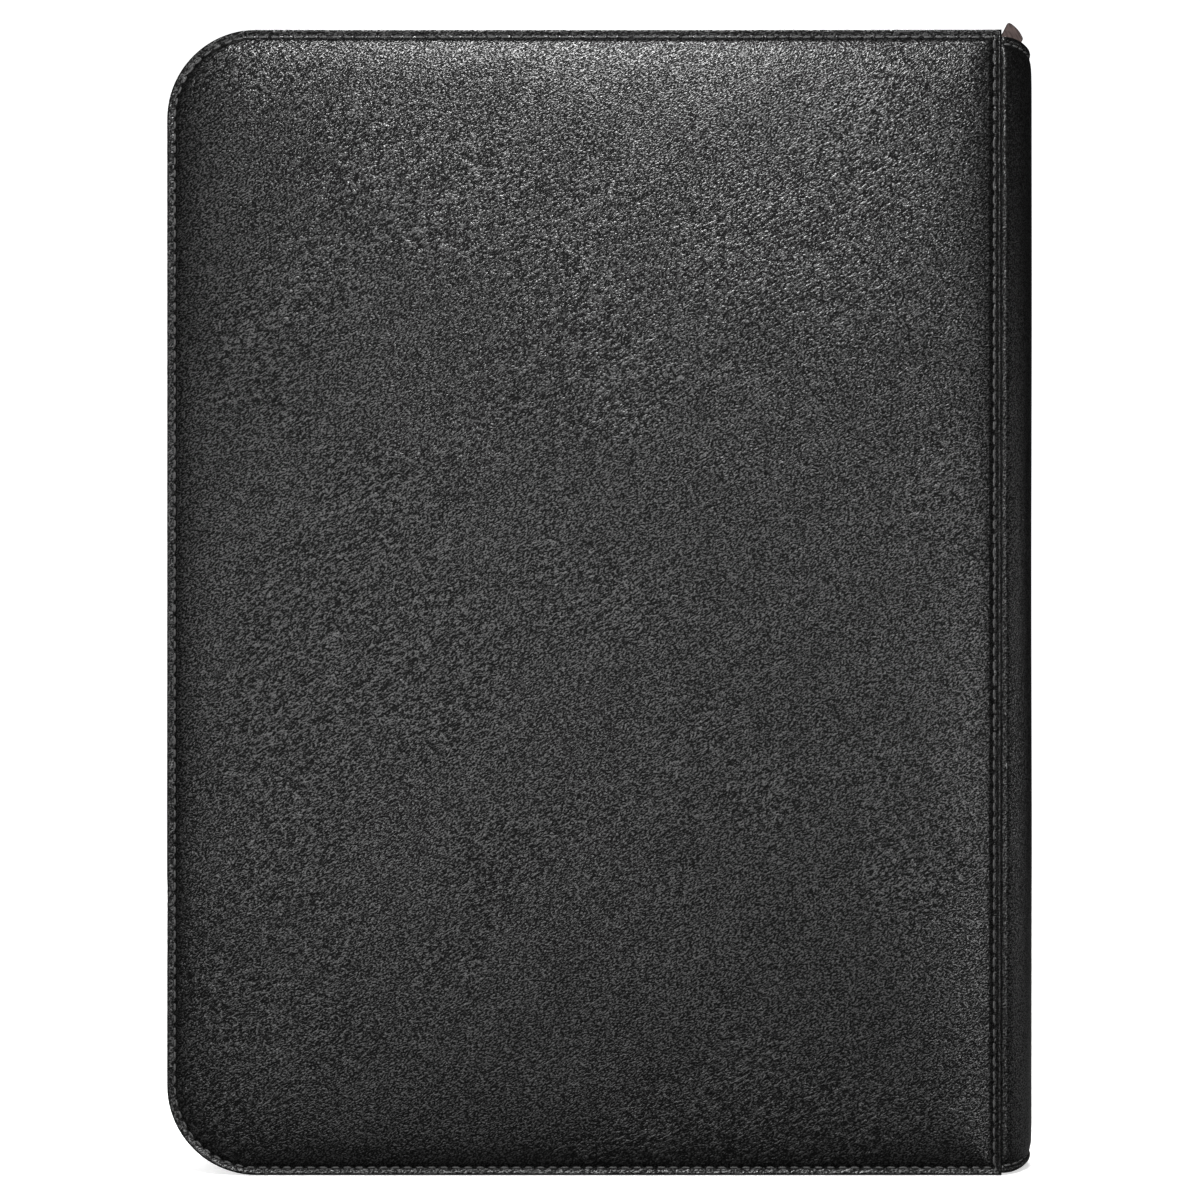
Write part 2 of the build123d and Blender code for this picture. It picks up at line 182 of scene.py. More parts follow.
# --- Materials ---------------------------------------------------------------------
class Nodes:
    """Short calls for building a material's node tree. Pattern sizes are in millimetres."""

    PATTERN_TIP = math.radians(35)

    def __init__(self, name):
        self.material = bpy.data.materials.new(name)
        self.material.use_nodes = True
        self.tree = self.material.node_tree
        self.shader = self.tree.nodes["Principled BSDF"]
        coords = self.tree.nodes.new("ShaderNodeTexCoord")
        self.mm = self.vector_math("MULTIPLY", coords.outputs["Object"], (1000, 1000, 1000))

    def new(self, kind, **settings):
        node = self.tree.nodes.new(kind)
        for key, value in settings.items():
            setattr(node, key, value)
        return node

    def link(self, source, target):
        self.tree.links.new(source, target)

    def put(self, socket, value):
        """Link a socket to an output, or set it to a value."""
        if isinstance(value, bpy.types.NodeSocket):
            self.link(value, socket)
        else:
            socket.default_value = value

    def vector_math(self, operation, a, b, output="Vector"):
        node = self.new("ShaderNodeVectorMath", operation=operation)
        self.put(node.inputs[0], a)
        self.put(node.inputs[1], b)
        return node.outputs[output]

    def math(self, operation, a, b=0.0):
        node = self.new("ShaderNodeMath", operation=operation)
        self.put(node.inputs[0], a)
        self.put(node.inputs[1], b)
        return node.outputs[0]

    def sine(self, value, pitch):
        """A wave between -1 and 1 that repeats every `pitch`."""
        return self.math("SINE", self.math("MULTIPLY", value, 2 * math.pi / pitch))

    def ramp(self, value, low, high, to_low=0.0, to_high=1.0):
        node = self.new("ShaderNodeMapRange", interpolation_type="SMOOTHSTEP")
        self.put(node.inputs["Value"], value)
        node.inputs["From Min"].default_value = low
        node.inputs["From Max"].default_value = high
        node.inputs["To Min"].default_value = to_low
        node.inputs["To Max"].default_value = to_high
        return node.outputs["Result"]

    def noise_node(self, scale, detail, vector=None):
        node = self.new("ShaderNodeTexNoise")
        self.put(node.inputs["Vector"], self.mm if vector is None else vector)
        node.inputs["Scale"].default_value = scale
        node.inputs["Detail"].default_value = detail
        return node

    def noise(self, scale, detail, vector=None):
        return self.noise_node(scale, detail, vector).outputs["Fac"]

    def voronoi(self, scale):
        node = self.new("ShaderNodeTexVoronoi")
        self.put(node.inputs["Vector"], self.mm)
        node.inputs["Scale"].default_value = scale
        return node.outputs["Distance"]

    def stretched(self, turn, scale):
        """Millimetre coordinates turned about Y by `turn` degrees, then scaled per axis.
        They're tipped as well, so that no flat face lies in a plane of the pattern's own grid."""
        node = self.new("ShaderNodeMapping", vector_type="TEXTURE")
        self.link(self.mm, node.inputs["Vector"])
        node.inputs["Rotation"].default_value = (self.PATTERN_TIP, math.radians(turn), 0)
        node.inputs["Scale"].default_value = scale
        return node.outputs["Vector"]

    def axes(self, vector):
        """The X, Y and Z of a vector."""
        node = self.new("ShaderNodeSeparateXYZ")
        self.link(vector, node.inputs[0])
        return node.outputs["X"], node.outputs["Y"], node.outputs["Z"]

    def diagonal(self):
        """A height that rises along X, Y and Z alike, for slanted ribs."""
        x, y, z = self.axes(self.mm)
        return self.math("ADD", self.math("ADD", x, z), y)

    def wobbled(self, scale, amount):
        """Coordinates pushed about by noise, so that a pattern isn't regular."""
        colour = self.noise_node(scale, 1.0).outputs["Color"]
        centred = self.vector_math("SUBTRACT", colour, (0.5, 0.5, 0.5))
        push = self.vector_math("MULTIPLY", centred, (amount, amount, amount))
        return self.vector_math("ADD", self.mm, push)

    def mix_colour(self, fac, a, b):
        node = self.new("ShaderNodeMix", data_type="RGBA")
        self.put(node.inputs["Factor"], fac)
        self.put(node.inputs["A"], a)
        self.put(node.inputs["B"], b)
        return node.outputs["Result"]

    def mix_shader(self, fac, a, b):
        node = self.new("ShaderNodeMixShader")
        self.put(node.inputs["Fac"], fac)
        self.link(a, node.inputs[1])
        self.link(b, node.inputs[2])
        return node.outputs[0]

    def bump(self, height, depth):
        node = self.new("ShaderNodeBump")
        self.put(node.inputs["Height"], height)
        node.inputs["Distance"].default_value = depth * MM
        return node.outputs["Normal"]

    def finish(self, colour, roughness, normal=None, **inputs):
        """Fill in the principled shader; an input's name has underscores for its spaces."""
        self.put(self.shader.inputs["Base Color"], colour)
        self.put(self.shader.inputs["Roughness"], roughness)
        if normal is not None:
            self.link(normal, self.shader.inputs["Normal"])
        for key, value in inputs.items():
            self.put(self.shader.inputs[key.replace("_", " ")], value)
        return self.material


def grey(value):
    return (value, value, value, 1.0)


def leather_material(fold_height=1.3, fold_shine=0.5, depth=0.17, roughness=0.33):
    """Black leatherette: fine grain all over, with slanting creases in patches. The grain's tops
    shine and its valleys are dull, which is what makes it show on a black face."""
    n = Nodes("leatherette")
    grain = n.noise(2.1, 1.0, n.stretched(-30, (1.5, 0.85, 0.85)))
    crease = n.noise(0.9, 1.0, n.stretched(-33, (2.0, 0.85, 0.85)))
    patches = n.ramp(n.noise(0.02, 1.0), 0.42, 0.65)
    folds = n.math("MULTIPLY", n.math("SUBTRACT", crease, 0.5), patches)
    height = n.math("ADD", grain, n.math("MULTIPLY", folds, fold_height))
    relief = n.math("ADD", grain, n.math("MULTIPLY", folds, fold_shine))
    shine = n.ramp(relief, 0.42, 0.71, 0.06, 1.0)
    tone = n.mix_colour(grain, grey(0.001), grey(0.006))
    return n.finish(tone, roughness, n.bump(height, depth), Specular_IOR_Level=shine)


def lining_material(value=0.018, pitch=0.55, depth=0.12, roughness=0.85, sheen=0.08):
    """Plain-woven fabric with threads `pitch` apart."""
    n = Nodes("lining")
    x, _, z = n.axes(n.wobbled(0.7, 0.12))
    weave = n.ramp(n.math("MULTIPLY", n.sine(x, pitch), n.sine(z, pitch)), -1.0, 1.0)
    height = n.math("ADD", weave, n.math("MULTIPLY", n.noise(4.0, 3.0), 0.5))
    tone = n.mix_colour(weave, grey(value * 0.55), grey(value * 1.3))
    return n.finish(tone, roughness, n.bump(height, depth), Sheen_Weight=sheen)


def tape_material(rib_pitch=0.62, twill_pitch=0.9, depth=0.12, roughness=0.8, sheen=0.06):
    """Zipper tape: twill ribs that run along the tape, drawn across its slope."""
    n = Nodes("zip_tape")
    ribs = n.ramp(n.sine(n.axes(n.mm)[1], rib_pitch), -1, 1)
    twill = n.ramp(n.sine(n.diagonal(), twill_pitch), -1, 1)
    woven = n.math("ADD", ribs, n.math("MULTIPLY", twill, 0.7))
    height = n.math("ADD", woven, n.math("MULTIPLY", n.noise(5.0, 2.0), 0.4))
    tone = n.mix_colour(n.ramp(height, 0.2, 1.8), grey(0.004), grey(0.018))
    return n.finish(tone, roughness, n.bump(height, depth), Sheen_Weight=sheen)


def thread_material(twist_pitch=0.42, depth=0.06, roughness=0.5, shine=0.4):
    """Twisted polyester thread, a little lighter than the leatherette."""
    n = Nodes("thread")
    twist = n.ramp(n.sine(n.diagonal(), twist_pitch), -1, 1)
    tone = n.mix_colour(twist, grey(0.03), grey(0.11))
    return n.finish(tone, roughness, n.bump(twist, depth), Specular_IOR_Level=shine)


def plastic_material(name, value, roughness, depth=0.02):
    """Moulded or extruded plastic with a fine sandy texture."""
    n = Nodes(name)
    speckle = n.noise(3.6, 3.0)
    rough = n.ramp(speckle, 0.3, 0.7, roughness - 0.06, roughness + 0.08)
    tone = n.mix_colour(n.noise(0.05, 2.0), grey(value * 0.85), grey(value * 1.15))
    return n.finish(tone, rough, n.bump(speckle, depth))


def metal_material(name, colour, roughness=0.42, depth=0.03):
    """Plated metal with faint brushing and tiny pits."""
    n = Nodes(name)
    brushed = n.noise(3.0, 4.0, n.stretched(63, (8.0, 1.0, 1.0)))
    pits = n.ramp(n.voronoi(1.6), 0.0, 0.22)
    rough = n.ramp(brushed, 0.3, 0.7, roughness - 0.08, roughness + 0.1)
    dull = tuple(c * 0.72 for c in colour)
    tone = n.mix_colour(n.ramp(brushed, 0.35, 0.65), dull + (1.0,), colour + (1.0,))
    height = n.math("ADD", n.math("MULTIPLY", brushed, 0.6), n.math("MULTIPLY", pits, 0.25))
    return n.finish(tone, rough, n.bump(height, depth), Metallic=0.9)


def film_material(depth=1.2, roughness=0.09, ior=1.5):
    """Clear pocket film: see-through, with sharp slightly rippled reflections and a faint haze."""
    n = Nodes("page_film")
    fine_ripple = n.math("MULTIPLY", n.noise(0.9, 2.0), 0.02)
    normal = n.bump(n.math("ADD", n.noise(0.05, 2.0), fine_ripple), depth)
    glossy = n.new("ShaderNodeBsdfGlossy")
    glossy.inputs["Roughness"].default_value = roughness
    n.link(normal, glossy.inputs["Normal"])
    haze = n.new("ShaderNodeBsdfDiffuse")
    haze.inputs["Color"].default_value = (0.8, 0.82, 0.84, 1)
    clear = n.new("ShaderNodeBsdfTransparent")
    clear.inputs["Color"].default_value = (0.97, 0.97, 0.97, 1)
    fresnel = n.new("ShaderNodeFresnel")
    fresnel.inputs["IOR"].default_value = ior
    n.link(normal, fresnel.inputs["Normal"])
    cloudiness = n.ramp(n.noise(0.4, 3.0), 0.3, 0.8, 0.015, 0.05)
    body = n.mix_shader(cloudiness, clear.outputs[0], haze.outputs[0])
    whole = n.mix_shader(fresnel.outputs[0], body, glossy.outputs[0])
    n.link(whole, n.tree.nodes["Material Output"].inputs["Surface"])
    return n.material


LEATHER = leather_material()
LINING = lining_material()
TAPE = tape_material()
THREAD = thread_material()
COIL = plastic_material("zip_coil", 0.014, 0.38)
BINDING = plastic_material("binding", 0.012, 0.5)
SHEET = plastic_material("page_sheet", 0.0085, 0.5, depth=0.03)
FILM = film_material()
SLIDER_METAL = metal_material("slider_metal", (0.06, 0.056, 0.053))
PULL_METAL = metal_material("pull_metal", (0.07, 0.052, 0.049))


# --- Covers ------------------------------------------------------------------------
FACE_Y = -19.6              # the back cover's face before its padding swells it out
STITCH_Y = -19.0
OUTSIDE_Y = -18.0           # margin points nearer the face than this are on the outside
EDGE_SWELL, EDGE_SWELL_LENGTH = 1.45, 5.5
CROWN_SWELL, CROWN_SWELL_LENGTH = 1.7, 36.0
SWELL_INSET = 3.0
WAVE_HEIGHT = 0.075
WAVES = ((71, 0.4, 0.9), (43, 1.0, 2.1), (27, -0.8, 4.0), (96, 0.1, 5.2))   # length, slant, shift
PUCKER_DEPTH, PUCKER_WIDTH, PUCKER_REACH = 0.3, 0.5, 1.5
RIDGE_HEIGHT = 0.5

# Sections from the padded face to the inside, as (inset, y). None stands for the padded face.
FACE_INSETS = [27.5, 23.5, 20.0, 16.5, 13.5, 11.0, 9.0, 7.4, 6.1, 5.1, 4.3, 3.7]
MARGIN = [(3.3, -19.52), (2.95, -19.28), (2.7, -19.06), (2.45, -18.96), (2.15, -18.9),
          (1.75, -18.98), (1.25, -19.2), (0.9, -19.36), (0.62, -19.4), (0.36, -19.2),
          (0.16, -18.85), (0.03, -18.3), (0.0, -17.7), (0.0, -16.3), (0.12, -15.4),
          (0.5, -14.85), (1.1, -14.62), (1.7, -15.0)]
COVER_SECTION = [(inset, None) for inset in FACE_INSETS] + MARGIN
LINING_SECTION = [(24.0, -0.02), (12.0, 0.0), (5.0, 0.02), (2.4, 0.12), (1.5, 0.3),
                  (1.25, 0.6), (1.6, 0.75)]


def cover_loop(inset):
    """The cover's outline moved in by inset, as (x, z) rows: always the same number of points."""
    radius = max(CORNER_RADIUS - inset, 0.0)
    centre_x = FORE_X + CORNER_RADIUS
    high_centre, low_centre = HEIGHT - CORNER_RADIUS, CORNER_RADIUS
    seam = SEAM_X - inset
    low, high = inset, HEIGHT - inset
    t_short = np.linspace(0, 1, SEG_SHORT + 1)
    t_long = np.linspace(0, 1, SEG_LONG + 1)
    turn = np.linspace(0, math.pi / 2, SEG_CORNER + 1)[1:-1]
    reach, rise = radius * np.sin(turn), radius * np.cos(turn)
    span = HEIGHT - 2 * CORNER_RADIUS
    parts = [
        (seam + (centre_x - seam) * t_short, np.full_like(t_short, high)),
        (centre_x - reach, high_centre + rise),
        (np.full_like(t_long, centre_x - radius), high_centre - span * t_long),
        (centre_x - rise, low_centre - reach),
        (centre_x + (seam - centre_x) * t_short, np.full_like(t_short, low)),
        (np.full_like(t_long, seam)[1:-1], (low + (high - low) * t_long)[1:-1]),
    ]
    return np.concatenate([np.stack(part, 1) for part in parts])


def undulation(x, z, phase):
    """Slow waves of a padded surface, up to 0.3 mm either way."""
    total = np.zeros_like(x)
    for length, slant, shift in WAVES:
        total += np.sin(2 * math.pi * (x + slant * z) / (length * 1.9) + shift + phase)
    return WAVE_HEIGHT * total


def puff(inset, x, z, phase):
    """How far the padded face stands out past the sewn margin."""
    edge = EDGE_SWELL * (1 - np.exp(-np.maximum(inset - SWELL_INSET, 0) / EDGE_SWELL_LENGTH))
    crown = np.ones_like(x)
    for distance in (x - FORE_X, SEAM_X - x, z, HEIGHT - z):
        crown = crown * (1 - np.exp(-np.maximum(distance, 0) / CROWN_SWELL_LENGTH))
    calm_margin = smoothstep((inset - 4) / 25)
    return edge + CROWN_SWELL * crown + undulation(x, z, phase) * calm_margin


def seam_ridge(inset, x):
    """The folded strip between the stitches and the seam stands a little proud."""
    at_seam = np.exp(-((SEAM_X - x) / 2.6) ** 4)
    return RIDGE_HEIGHT * at_seam * math.exp(-((inset - 1.0) / 0.75) ** 2)


def cover_shell(name, side, phase):
    """Padded leatherette cover: face, sewn margin and turned edge, closed behind."""
    loops = []
    for inset, depth in COVER_SECTION:
        loop = cover_loop(inset)
        x, z = loop[:, 0], loop[:, 1]
        if depth is None:
            y = FACE_Y - puff(inset, x, z, phase)
        else:
            y = np.full(len(x), depth)
        if depth is not None and depth < OUTSIDE_Y:
            if inset > PUCKER_REACH:
                between = np.where(np.arange(len(x)) % 2 == 0, 1.0, -1.0)
                near_stitches = math.exp(-((inset - STITCH_INSET) / PUCKER_WIDTH) ** 2)
                y = y - PUCKER_DEPTH * near_stitches * between
            y = y - seam_ridge(inset, x)
        loops.append(np.stack([x, y, z], 1))
    verts = np.concatenate(loops)
    width = len(loops[0])
    faces = band_faces(len(loops), width)
    last = (len(loops) - 1) * width
    faces.append(tuple(range(last, last + width)))
    xs = np.linspace(SEAM_X - CORNER_RADIUS, FORE_X + CORNER_RADIUS, SEG_SHORT + 1)
    zs = np.linspace(HEIGHT - CORNER_RADIUS, CORNER_RADIUS, SEG_LONG + 1)
    grid_x, grid_z = np.meshgrid(xs, zs)
    x, z = grid_x.ravel(), grid_z.ravel()
    y = FACE_Y - puff(np.full_like(x, CORNER_RADIUS), x, z, phase)
    faces += grid_faces(SEG_LONG + 1, SEG_SHORT + 1, len(verts))
    verts = np.concatenate([verts, np.stack([x, y, z], 1)])
    verts[:, 1] *= -side
    return make_object(name, verts, faces, LEATHER, merge=True)


def cover_lining(name, side):
    """Woven lining inside a cover, pulled in slightly at its sewn edge."""
    loops = []
    for inset, sink in LINING_SECTION:
        loop = cover_loop(inset)
        loops.append(np.stack([loop[:, 0], np.full(len(loop), -(INNER_Y + sink)), loop[:, 1]], 1))
    verts = np.concatenate(loops)
    verts[:, 1] *= -side
    return make_object(name, verts, tube_faces(len(loops), len(loops[0])), LINING, merge=True)


# --- Stitches ----------------------------------------------------------------------
THREAD_RADIUS = 0.3
THREAD_SIDES = 6
# Along a stitch: (place as a share of its length, size, height), so that both ends dive in
STITCH_STATIONS = [(-0.5, 0.35, -0.5), (-0.42, 0.85, -0.18), (-0.2, 1.0, 0.0),
                   (0.2, 1.0, 0.0), (0.42, 0.85, -0.18), (0.5, 0.35, -0.5)]


def stitch(centre, along, out, length):
    """The vertices of one stitch, a thread segment flattened a little across."""
    across = np.cross(along, out)
    verts = []
    for t, size, rise in STITCH_STATIONS:
        middle = centre + along * t * length + out * rise
        for k in range(THREAD_SIDES):
            angle = 2 * math.pi * k / THREAD_SIDES
            ring = (across * math.cos(angle) * THREAD_RADIUS * 1.15
                    + out * math.sin(angle) * THREAD_RADIUS)
            verts.append(middle + ring * size)
    return verts


def stitch_row(name, centres, tangents, outs, lengths):
    """A row of single stitches in one mesh."""
    verts, faces = [], []
    for row in zip(centres, tangents, outs, lengths):
        faces += tube_faces(len(STITCH_STATIONS), THREAD_SIDES, len(verts))
        verts += stitch(*row)
    return make_object(name, verts, faces, THREAD)


def cover_stitches(name, side):
    """The row of stitches round a cover, one over every second vertex of its stitch loop."""
    loop = cover_loop(STITCH_INSET)
    middle = np.arange(1, len(loop), 2)
    flat = np.zeros(len(middle))
    chord = loop[(middle + 1) % len(loop)] - loop[middle - 1]
    pitch = np.linalg.norm(chord, axis=1)
    centres = np.stack([loop[middle, 0], flat - STITCH_Y * side, loop[middle, 1]], 1)
    tangents = np.stack([chord[:, 0], flat, chord[:, 1]], 1) / pitch[:, None]
    outs = np.tile([0.0, float(side), 0.0], (len(middle), 1))
    return stitch_row(name, centres, tangents, outs, pitch * 0.74)


# --- Spine -------------------------------------------------------------------------
SAGITTA = SPINE_X - SPINE_START
SPINE_RADIUS = (HALF**2 + SAGITTA**2) / (2 * SAGITTA)
SPINE_CENTRE = SPINE_X - SPINE_RADIUS
SPINE_HALF_ANGLE = math.asin(HALF / SPINE_RADIUS)
SPINE_ARC = 2 * SPINE_HALF_ANGLE * SPINE_RADIUS
END_DROP, END_BOW = 1.9, 0.8
SPINE_ROWS, SPINE_SEGMENTS = 84, 52
SKIN_DROP = 0.45            # from the frame's outer radius to the base of the leatherette's relief
SKIN_INSIDE, LINING_OUTSIDE, LINING_INSIDE = 2.35, 2.36, 2.85
SPINE_STITCH_INSET, SPINE_STITCH_DROP = 2.4, 0.28
SPINE_STITCH_PITCH, SPINE_STITCH_LENGTH = 3.6, 2.7

# Relief of the leatherette at the spine's ends, as (inset, height), and at its long edges, as
# (distance round the arc, height)
SPINE_ENDS = [(0.25, -2.0), (0.05, -1.5), (0.0, -0.9), (0.12, -0.42), (0.45, -0.1), (0.95, 0.03),
              (1.4, -0.02), (1.8, -0.22), (2.1, -0.5), (2.4, -0.62), (2.7, -0.5), (3.05, -0.2),
              (3.5, 0.02), (4.2, 0.18), (5.4, 0.32), (7.5, 0.42), (11.0, 0.48), (16.0, 0.5)]
SPINE_EDGE = [(0.0, -2.1), (0.1, -1.3), (0.35, -0.7), (0.8, -0.25), (1.4, 0.0), (2.2, 0.1)]


def spine_end(x, inset, top):
    """Height of the spine's bowed end at x, moved in by inset."""
    t = np.clip((x - SPINE_START) / SAGITTA, 0, 1)
    drop = inset + END_DROP * t - 4 * END_BOW * t * (1 - t)
    return SPINE_HIGH - drop if top else SPINE_LOW + drop


def round_spine(radius, angles, z):
    """Points on the spine's arc at the given radius, angles and heights."""
    return np.stack([SPINE_CENTRE + radius * np.cos(angles), radius * np.sin(angles), z], 1)


def spine_shell():
    """Rounded leatherette spine with sewn, bowed ends and edges rolled into the seams."""
    across = [(s, 0.15) for s in np.linspace(3.2, SPINE_ARC - 3.2, SPINE_SEGMENTS)]
    far_edge = [(SPINE_ARC - s, rise) for s, rise in reversed(SPINE_EDGE)]
    arc_places, column_rise = np.array(SPINE_EDGE + across + far_edge).T
    angles = (arc_places - SPINE_ARC / 2) / SPINE_RADIUS
    base_x = SPINE_CENTRE + SPINE_RADIUS * np.cos(angles)

    rows = [(spine_end(base_x, inset, False), rise) for inset, rise in SPINE_ENDS]
    low, high = rows[-1][0], spine_end(base_x, SPINE_ENDS[-1][0], True)
    for t in np.linspace(0, 1, SPINE_ROWS)[1:-1]:
        rise = 0.5 + 0.1 * math.sin(9 * t) * math.sin(math.pi * t)
        rows.append((low + (high - low) * t, rise))
    rows += [(spine_end(base_x, inset, True), rise) for inset, rise in reversed(SPINE_ENDS)]

    outer = [round_spine(SPINE_RADIUS - SKIN_DROP + min(rise, 0.6) + column_rise, angles, z)
             for z, rise in rows]
    inner = [round_spine(SPINE_RADIUS - SKIN_INSIDE, angles, z) for z, _ in rows]
    return make_object("spine_leather", np.concatenate(outer + inner),
                       sheet_faces(len(rows), len(angles)), LEATHER)


def spine_stitches():
    """Stitches along both sewn ends of the spine."""
    radius = SPINE_RADIUS - SKIN_DROP - SPINE_STITCH_DROP

    def point_at(angle, top):
        base_x = np.array(SPINE_CENTRE + SPINE_RADIUS * math.cos(angle))
        z = float(spine_end(base_x, SPINE_STITCH_INSET, top))
        return np.array([SPINE_CENTRE + radius * math.cos(angle), radius * math.sin(angle), z])

    marks = np.arange(2.6, SPINE_ARC - 2.0, SPINE_STITCH_PITCH)
    centres, tangents, outs = [], [], []
    for top in (False, True):
        for angle in (marks - SPINE_ARC / 2) / SPINE_RADIUS:
            along = point_at(angle + 0.05, top) - point_at(angle - 0.05, top)
            centres.append(point_at(angle, top))
            tangents.append(along / np.linalg.norm(along))
            outs.append(np.array([math.cos(angle), math.sin(angle), 0.0]))
    lengths = [SPINE_STITCH_LENGTH] * len(centres)
    return stitch_row("spine_stitches", centres, tangents, outs, lengths)


def spine_inner_lining():
    """Woven lining on the inside of the spine."""
    angles = np.linspace(-SPINE_HALF_ANGLE * 0.93, SPINE_HALF_ANGLE * 0.93, 33)
    heights = np.linspace(0, 1, 30)
    base_x = SPINE_CENTRE + SPINE_RADIUS * np.cos(angles)
    low, high = spine_end(base_x, 1.2, False), spine_end(base_x, 1.2, True)
    layers = [round_spine(SPINE_RADIUS - drop, angles, low + (high - low) * t)
              for drop in (LINING_OUTSIDE, LINING_INSIDE) for t in heights]
    return make_object("spine_inner_lining", np.concatenate(layers),
                       sheet_faces(len(heights), len(angles)), LINING)


def strip(name, points, count, side, z_low, z_high, thickness, material):
    """An upright strip of fabric along a smooth (x, y) curve, mirrored by side."""
    rows = 60
    path = resample(points, count)
    path[:, 1] *= side
    ring = thickened(path, thickness)
    verts = [(x, y, z) for z in np.linspace(z_low, z_high, rows) for x, y in ring]
    return make_object(name, verts, tube_faces(rows, len(ring)), material)


# --- Zipper ------------------------------------------------------------------------
CHAIN_START_X = 126.0
TAPE_THICKNESS = 0.55
TAPE_STEP = 1.9
# Across the sewn tape, from the coil to the cover: (distance from the middle plane, inset)
TAPE_SECTION = [(4.0, 10.0), (5.6, 10.0), (7.1, 9.9), (8.6, 9.3), (10.4, 8.1), (12.2, 6.9),
                (13.3, 6.1), (13.85, 5.3), (14.05, 4.2), (14.1, 2.4)]
TAPE_ROOT, TAPE_INSET = TAPE_SECTION[0]
SEWN_REACH, FREE_REACH = 10.1, 5.0      # how far the tape spreads where sewn in, and where free
FREE_START_X, FREE_LENGTH = 84.0, 22.0
COIL_PITCH, COIL_WIRE = 1.45, 0.34
COIL_MIDDLE, COIL_DEPTH, COIL_RISE = 2.85, 1.05, 0.78
COIL_STEPS, COIL_SIDES = 12, 5          # points to one turn, and sides of the wire
ZIP_END_X, ZIP_END_HALF, ZIP_END_DROP = 124.6, 9.0, 2.8
ZIP_END_THICKNESS = 0.9


def chain_path(step):
    """Points along the chain's centre line from spine top to spine bottom, the outward direction
    at each, and the whole length."""
    radius = CORNER_RADIUS - CHAIN_INSET
    corner_x = FORE_X + CORNER_RADIUS
    run = CHAIN_START_X - corner_x
    turn = radius * math.pi / 2
    side = HEIGHT - 2 * CORNER_RADIUS
    total = 2 * run + 2 * turn + side
    count = int(round(total / step))
    points, outs = [], []
    for s in np.linspace(0, total, count + 1):
        if s < run:
            p, o = (CHAIN_START_X - s, CHAIN_TOP), (0, 1)
        elif s < run + turn:
            a = (s - run) / radius
            o = (-math.sin(a), math.cos(a))
            p = (corner_x + radius * o[0], HEIGHT - CORNER_RADIUS + radius * o[1])
        elif s < run + turn + side:
            p = (FORE_X + CHAIN_INSET, HEIGHT - CORNER_RADIUS - (s - run - turn))
            o = (-1, 0)
        elif s < run + 2 * turn + side:
            a = (s - run - turn - side) / radius
            o = (-math.cos(a), -math.sin(a))
            p = (corner_x + radius * o[0], CORNER_RADIUS + radius * o[1])
        else:
            p, o = (corner_x + (s - run - 2 * turn - side), CHAIN_INSET), (0, -1)
        points.append(p)
        outs.append(o)
    return np.array(points), np.array(outs), total


def zip_tape(name, side):
    """Woven tape of one zipper half, free at its spine ends and sewn into the cover elsewhere."""
    points, outs, _ = chain_path(TAPE_STEP)
    verts = []
    for (x, z), (ox, oz) in zip(points, outs):
        free = float(smoothstep((x - FREE_START_X) / FREE_LENGTH))
        ring = []
        for reach, inset in TAPE_SECTION:
            free_reach = TAPE_ROOT + (reach - TAPE_ROOT) * FREE_REACH / SEWN_REACH
            ring.append((reach + (free_reach - reach) * free, inset + (TAPE_INSET - inset) * free))
        for reach, inset in thickened(np.array(ring), TAPE_THICKNESS):
            shift = CHAIN_INSET - inset
            verts.append((x + ox * shift, reach * side, z + oz * shift))
    return make_object(name, verts, tube_faces(len(points), 2 * len(TAPE_SECTION)), TAPE)


def zip_coil(name, side):
    """Nylon coil of one zipper half: a flattened helix sewn along the tape's edge."""
    points, outs, total = chain_path(0.4)
    lengths = np.linspace(0, total, len(points))
    count = int(total / COIL_PITCH) * COIL_STEPS + 1
    s = np.linspace(0, total, count)
    x, z = (np.interp(s, lengths, column) for column in points.T)
    ox, oz = (np.interp(s, lengths, column) for column in outs.T)
    angle = 2 * math.pi * s / COIL_PITCH
    y = (COIL_MIDDLE - COIL_DEPTH * np.cos(angle)) * side
    rise = COIL_RISE * np.sin(angle)
    centre = np.stack([x + ox * rise, y, z + oz * rise], 1)
    tangent = unit(np.gradient(centre, axis=0))
    first = unit(np.cross(tangent, np.stack([oz, np.zeros_like(ox), -ox], 1)))
    second = np.cross(tangent, first)
    rings = []
    for k in range(COIL_SIDES):
        a = 2 * math.pi * k / COIL_SIDES
        rings.append(centre + first * math.cos(a) * COIL_WIRE + second * math.sin(a) * COIL_WIRE)
    verts = np.stack(rings, 1).reshape(-1, 3)
    return make_object(name, verts, tube_faces(count, COIL_SIDES), COIL)


def zip_end(name, z):
    """Patch of doubled tape that joins the two halves inside the spine's end."""
    reach = SPINE_RADIUS - ZIP_END_DROP
    outline = [(y, SPINE_CENTRE + math.sqrt(reach**2 - y**2))
               for y in np.linspace(-ZIP_END_HALF, ZIP_END_HALF, 19)]
    rows = np.linspace(0, 1, 6)
    verts = []
    for height in (z - ZIP_END_THICKNESS / 2, z + ZIP_END_THICKNESS / 2):
        for t in rows:
            verts += [(ZIP_END_X + (x_end - ZIP_END_X) * t, y, height) for y, x_end in outline]
    return make_object(name, verts, sheet_faces(len(rows), len(outline)), TAPE)


# --- Page block --------------------------------------------------------------------
LEAF_OFFSET = 0.66          # from the middle of a pair to each of its leaves
SHEET_HALF = 0.15
SHEET_SPAN = (-110.5, 109.2)
SHEET_HEIGHT = (30.0, 320.0)
SHEET_CORNER = 3.5
SHEET_ROWS = 12
SHEET_STATIONS = [0, 0.35, 1.1, 2.2, 3.5, *np.linspace(8, 200, 14), 216, 219.7]
